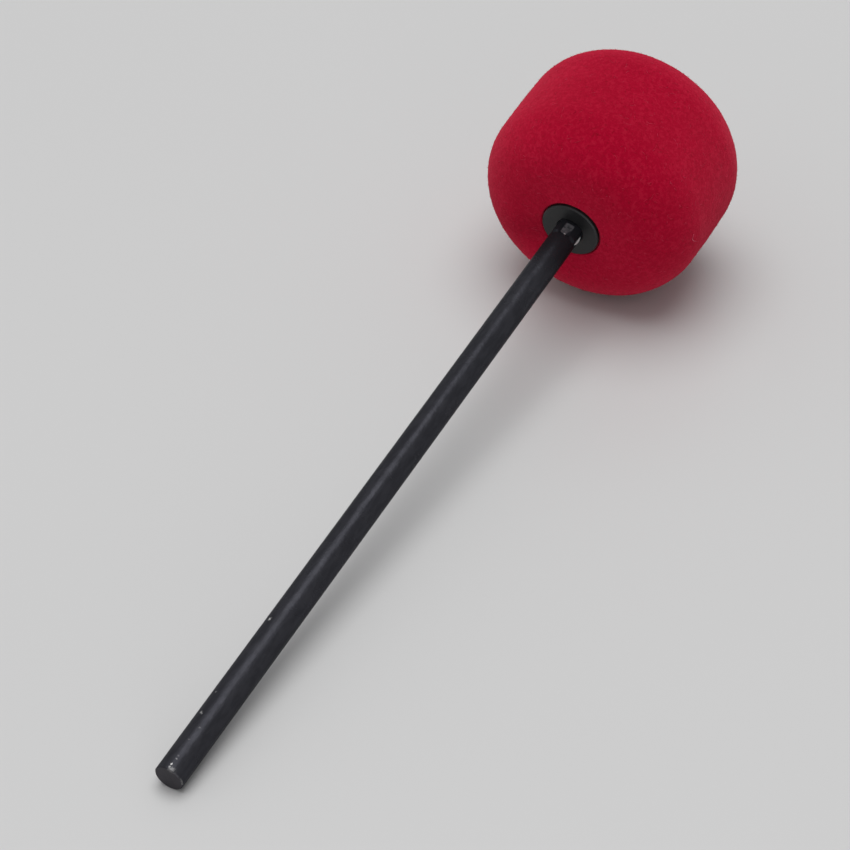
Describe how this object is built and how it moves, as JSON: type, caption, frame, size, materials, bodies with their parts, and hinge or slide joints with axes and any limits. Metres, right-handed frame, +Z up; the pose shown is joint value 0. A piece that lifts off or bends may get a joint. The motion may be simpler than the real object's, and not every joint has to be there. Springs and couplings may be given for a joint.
{
  "type": "bass drum beater",
  "caption": "Bass drum beater: a barrel of dense red felt clamped between washers on a straight black steel rod, whose free end goes in a pedal's beater clamp.",
  "frame": {"origin": "on the surface that the beater lies on, below the middle of its length and in line with the rod", "axes": "+Y level along the rod from its free end towards the head, +Z up from the surface, +X across to the right"},
  "size_m": [0.0654, 0.2694, 0.0676],
  "materials": {
    "black_rod": "smooth black coat, half gloss, with small chips and a worn free end",
    "black_washer": "satin black plate",
    "black_nut": "satin black plate, bright at the corners",
    "red_felt": "dense pressed felt with a short matt nap"
  },
  "bodies": {
    "rod": {"shaft": "black_rod", "lower_washer": "black_washer", "upper_washer": "black_washer", "top_nut": "black_nut"},
    "head": {"felt_head": "red_felt"}
  },
  "joints": [
    {"name": "head_turn", "type": "hinge", "parent": "rod", "child": "head", "pos_m": [0, 0.10138, 0.03379], "axis": [0, 0.9921, 0.1258], "continuous": true}
  ]
}
